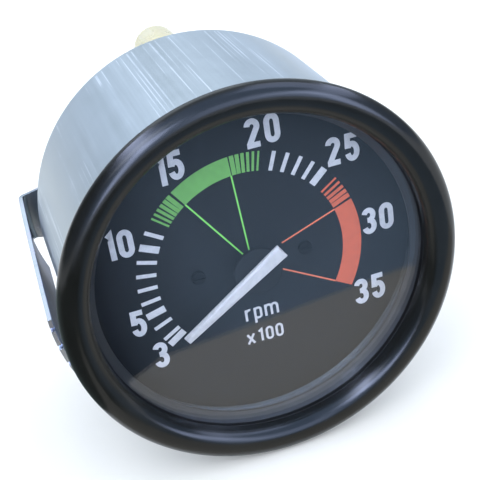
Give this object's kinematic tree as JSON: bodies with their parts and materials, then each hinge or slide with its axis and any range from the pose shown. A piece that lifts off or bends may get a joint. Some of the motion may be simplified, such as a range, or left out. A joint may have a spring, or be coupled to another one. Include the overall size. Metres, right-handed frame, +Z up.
{
  "type": "engine tachometer",
  "caption": "Round panel tachometer in a steel case with a rolled black bezel, flat glass, sweeping needle and a U-shaped clamp bracket on knurled nuts.",
  "frame": {"origin": "on the instrument's axis, in the rear face of the bezel, where the panel's front face is", "axes": "+Y runs back through the panel along the instrument's axis, +Z is up and +X is right as the dial is read"},
  "size_m": [0.112, 0.1034, 0.108],
  "materials": {
    "black_paint": "satin black stoved paint",
    "galvanized": "bare galvanized sheet with drawing marks",
    "zinc_plate": "bright blue zinc plating",
    "steel": "plain turned steel",
    "brass": "plain brass",
    "rubber": "matt black rubber",
    "glass": "clear flat glass",
    "black_plastic": "matt black moulding",
    "clear_plastic": "clear acrylic",
    "dial_print": "matt black dial with printed scale",
    "pointer_white": "white painted pointer",
    "hub_black": "satin black cap",
    "magnet": "sintered magnet",
    "copper": "enamelled copper winding",
    "white_plastic": "natural white moulding",
    "board": "green lacquered board",
    "chip": "moulded black package",
    "capacitor": "blue sleeved cans",
    "resistor": "cemented resistor",
    "adjuster": "blue adjuster body",
    "tinned": "tinned brass blades",
    "lamp_cream": "translucent cream plastic",
    "bulb_glass": "clear bulb glass"
  },
  "bodies": {
    "root": {"bezel_ring": "black_paint", "panel_seal": "rubber", "glass_disc": "glass", "glass_gasket": "rubber", "mask_ring": "black_plastic", "light_ring": "clear_plastic", "dial_plate": "dial_print", "dial_screws": "black_paint", "hairspring": "steel", "spring_stud": "brass", "stop_pins": "steel", "front_former": "white_plastic", "rear_former": "white_plastic", "inner_coil": "copper", "outer_coil": "copper", "spindle_bushes": "brass", "shield_can": "steel", "dial_spacers": "steel", "movement_plate": "brass", "board_posts": "steel", "inner_frame": "white_plastic", "circuit_board": "board", "control_chip": "chip", "capacitors": "capacitor", "power_resistor": "resistor", "trimmer_body": "adjuster", "terminal_block": "black_plastic", "terminal_blades": "tinned", "case_cup": "galvanized", "case_screws": "zinc_plate", "mounting_studs": "zinc_plate"},
    "needle": {"pointer": "pointer_white", "pointer_hub": "hub_black", "spindle": "steel", "rotor_magnet": "magnet", "stop_arm": "brass", "spring_collet": "brass"},
    "bracket": {"clamp_bracket": "zinc_plate", "spring_washers": "steel"},
    "left_nut": {"left_knurled_nut": "zinc_plate"},
    "right_nut": {"right_knurled_nut": "zinc_plate"},
    "lamp": {"lamp_holder": "lamp_cream", "lamp_contacts": "brass", "lamp_bulb": "bulb_glass"},
    "adjuster": {"trimmer_screw": "white_plastic"}
  },
  "joints": [
    {"name": "needle_turn", "type": "hinge", "parent": "root", "child": "needle", "pos_m": [0, 0, 0], "axis": [0, 1, 0], "range_deg": [0, 243], "stiffness_Nm_per_rad": 0.00002, "springref_deg": -17.19},
    {"name": "bracket_slide", "type": "slide", "parent": "root", "child": "bracket", "axis": [0, 1, 0], "range_m": [-0.01, 0.012]},
    {"name": "left_nut_turn", "type": "hinge", "parent": "bracket", "child": "left_nut", "pos_m": [-0.03, 0.08, 0], "axis": [0, 1, 0], "range_deg": [-4500, 5400]},
    {"name": "right_nut_turn", "type": "hinge", "parent": "bracket", "child": "right_nut", "pos_m": [0.03, 0.08, 0], "axis": [0, 1, 0], "range_deg": [-4500, 5400]},
    {"name": "lamp_pull", "type": "slide", "parent": "root", "child": "lamp", "axis": [0, 1, 0], "range_m": [0, 0.03]},
    {"name": "adjuster_turn", "type": "hinge", "parent": "root", "child": "adjuster", "pos_m": [0.026, 0.06, -0.024], "axis": [0, 1, 0], "range_deg": [-135, 135]}
  ],
  "couplings": [
    {"joint": "left_nut_turn", "follows": "bracket_slide", "rad_per_m": 7854},
    {"joint": "right_nut_turn", "follows": "bracket_slide", "rad_per_m": 7854}
  ]
}
